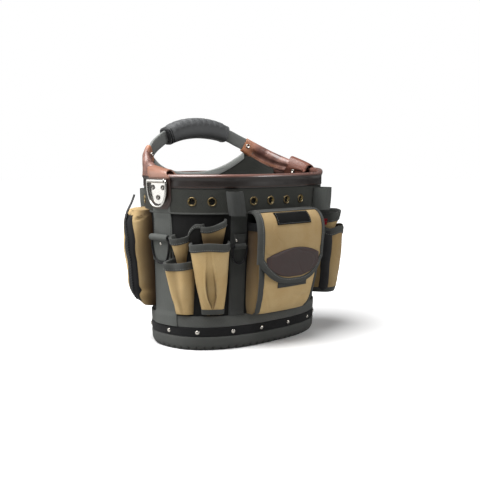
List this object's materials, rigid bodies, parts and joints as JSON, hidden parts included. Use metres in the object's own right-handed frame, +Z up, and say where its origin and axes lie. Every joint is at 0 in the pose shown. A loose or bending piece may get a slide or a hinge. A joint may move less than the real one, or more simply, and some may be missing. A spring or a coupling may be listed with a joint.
{
  "type": "electrician tool bag",
  "caption": "open-topped oval tool bag with a moulded rubber base, leather-bound rim, arched carry handle, flap pouch, open tool pockets, webbing loops, eyelets and hinged rings",
  "frame": {"origin": "middle of the flat underside of the base, on the surface that the bag stands on", "axes": "+Z up, X along the bag's long axis with the zipped pocket's end at -X, -Y out of the front with the flap pouch"},
  "size_m": [0.3865, 0.2841, 0.381],
  "materials": {
    "base_rubber": "matte moulded",
    "black_webbing": "woven",
    "grey_webbing": "woven",
    "dark_webbing": "woven",
    "dark_nylon": "coarse weave",
    "rim_leather": "waxed",
    "patch_leather": "waxed",
    "tan_canvas": "coarse weave",
    "label_cloth": "woven",
    "polished_steel": "polished",
    "black_metal": "satin black",
    "grip_rubber": "soft moulded",
    "eyelet_brass": "antiqued"
  },
  "bodies": {
    "bag": {"base_tub": "base_rubber", "base_band": "black_webbing", "grommet_band": "black_webbing", "ring_tab_left": "black_webbing", "ring_tab_front": "black_webbing", "hem_band": "grey_webbing", "end_strap_left": "grey_webbing", "end_strap_right": "grey_webbing", "panel_binding": "grey_webbing", "corner_strap_front_left": "dark_webbing", "corner_strap_front_right": "dark_webbing", "corner_strap_back_left": "dark_webbing", "corner_strap_back_right": "dark_webbing", "tool_loop_front_left": "dark_webbing", "tool_loop_front_right": "dark_webbing", "tool_loop_back_left": "dark_webbing", "tool_loop_back_right": "dark_webbing", "handle_strap": "dark_webbing", "body_wall": "dark_nylon", "handle_panel": "dark_nylon", "rim_binding": "rim_leather", "leather_tab_left": "rim_leather", "leather_tab_right": "rim_leather", "handle_sleeve_left": "rim_leather", "handle_sleeve_right": "rim_leather", "flap_patch": "patch_leather", "pouch_body": "tan_canvas", "pouch_flap": "tan_canvas", "tool_pocket_tall": "tan_canvas", "tool_pocket_narrow": "tan_canvas", "tool_pocket_left": "tan_canvas", "tool_pocket_middle": "tan_canvas", "side_pouch_inner": "tan_canvas", "side_pouch_outer": "tan_canvas", "zip_pocket": "tan_canvas", "flap_label": "label_cloth", "closure_strip": "label_cloth", "ring_plate_left": "polished_steel", "ring_plate_right": "polished_steel", "handle_grip": "grip_rubber", "eyelet_01": "eyelet_brass", "eyelet_02": "eyelet_brass", "eyelet_03": "eyelet_brass", "eyelet_04": "eyelet_brass", "eyelet_05": "eyelet_brass", "eyelet_06": "eyelet_brass", "eyelet_07": "eyelet_brass", "eyelet_08": "eyelet_brass", "eyelet_09": "eyelet_brass", "eyelet_10": "eyelet_brass", "eyelet_11": "eyelet_brass", "eyelet_12": "eyelet_brass", "eyelet_13": "eyelet_brass", "eyelet_14": "eyelet_brass", "eyelet_15": "eyelet_brass", "eyelet_16": "eyelet_brass"},
    "steel_ring_left": {"steel_ring_left": "polished_steel"},
    "steel_ring_right": {"steel_ring_right": "polished_steel"},
    "black_ring_left": {"black_ring_left": "black_metal"},
    "black_ring_front": {"black_ring_front": "black_metal"}
  },
  "joints": [
    {"name": "steel_ring_left_swing", "type": "hinge", "parent": "bag", "child": "steel_ring_left", "pos_m": [-0.17692, 0, 0.27463], "axis": [0, 1, 0], "range_deg": [0, 150]},
    {"name": "steel_ring_right_swing", "type": "hinge", "parent": "bag", "child": "steel_ring_right", "pos_m": [0.17692, 0, 0.27463], "axis": [0, -1, 0], "range_deg": [0, 150]},
    {"name": "black_ring_left_swing", "type": "hinge", "parent": "bag", "child": "black_ring_left", "pos_m": [-0.16995, 0, 0.18276], "axis": [0, 1, 0], "range_deg": [0, 120]},
    {"name": "black_ring_front_swing", "type": "hinge", "parent": "bag", "child": "black_ring_front", "pos_m": [-0.09144, -0.10432, 0.17052], "axis": [-0.9468, 0.3219, 0], "range_deg": [0, 120]}
  ]
}
